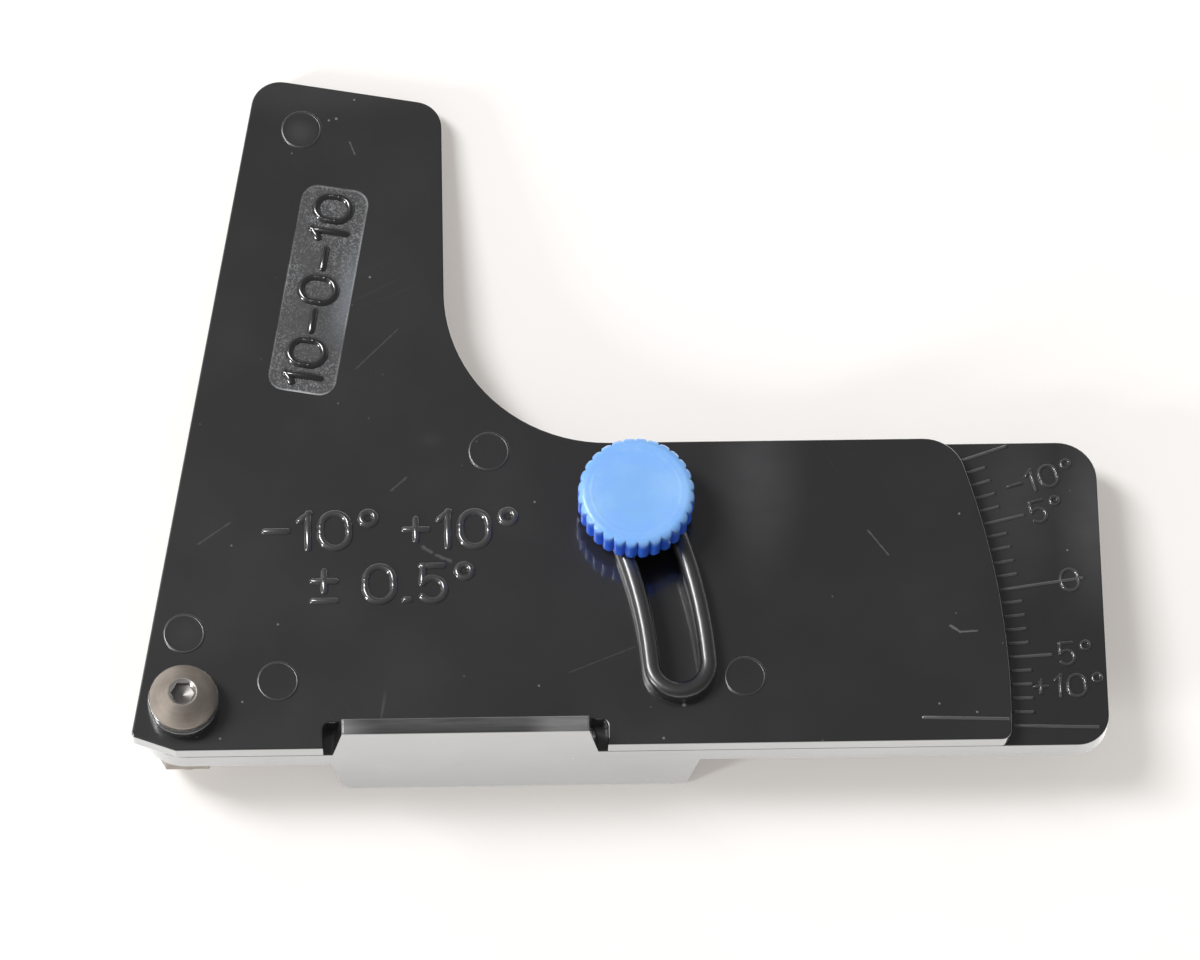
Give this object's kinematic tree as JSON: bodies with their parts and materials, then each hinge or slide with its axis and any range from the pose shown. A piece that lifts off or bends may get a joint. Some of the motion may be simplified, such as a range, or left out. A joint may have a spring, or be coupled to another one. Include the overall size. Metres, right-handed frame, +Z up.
{
  "type": "camber gauge",
  "caption": "Camber gauge: an L-shaped arm swings on a footed base plate over a degree scale and is held by a fluted clamp knob in a curved slot.",
  "frame": {"origin": "middle of the gauge's box on the floor that it rests on, lying on its back on the foot's rear edge and the arm's tip", "axes": "+X runs along the foot from the pivot to the scale, +Y up the arm from the foot to its tip, +Z up from the floor; the plates lean back from it by 8.47 degrees"},
  "size_m": [0.115, 0.0868, 0.02],
  "materials": {
    "black_plastic": "gloss moulded black, fine scratches",
    "blue_plastic": "satin moulded blue",
    "steel": "turned stainless",
    "nylon": "natural nylon",
    "brass": "turned brass"
  },
  "bodies": {
    "base": {"base_plate": "black_plastic", "pivot_screw": "steel", "pivot_washer": "steel", "pivot_back_washer": "steel", "pivot_nut": "steel", "nut_ring": "nylon", "clamp_screw": "steel"},
    "arm": {"swing_arm": "black_plastic"},
    "clamp_slider": {"clamp_washer": "steel"},
    "knob": {"clamp_knob": "blue_plastic", "knob_insert": "brass"}
  },
  "joints": [
    {"name": "arm_swing", "type": "hinge", "parent": "base", "child": "arm", "pos_m": [-0.05132, -0.03608, 0.01175], "axis": [0, 0.1473, 0.9891], "range_deg": [0, 20]},
    {"name": "knob_rise", "type": "slide", "parent": "base", "child": "clamp_slider", "axis": [0, 0.1473, 0.9891], "range_m": [0, 0.000794]},
    {"name": "knob_turn", "type": "hinge", "parent": "clamp_slider", "child": "knob", "pos_m": [0.00209, -0.01284, 0.00829], "axis": [0, 0.1473, 0.9891], "range_deg": [0, 360]}
  ],
  "couplings": [
    {"joint": "knob_turn", "follows": "knob_rise", "rad_per_m": 7913.3}
  ]
}
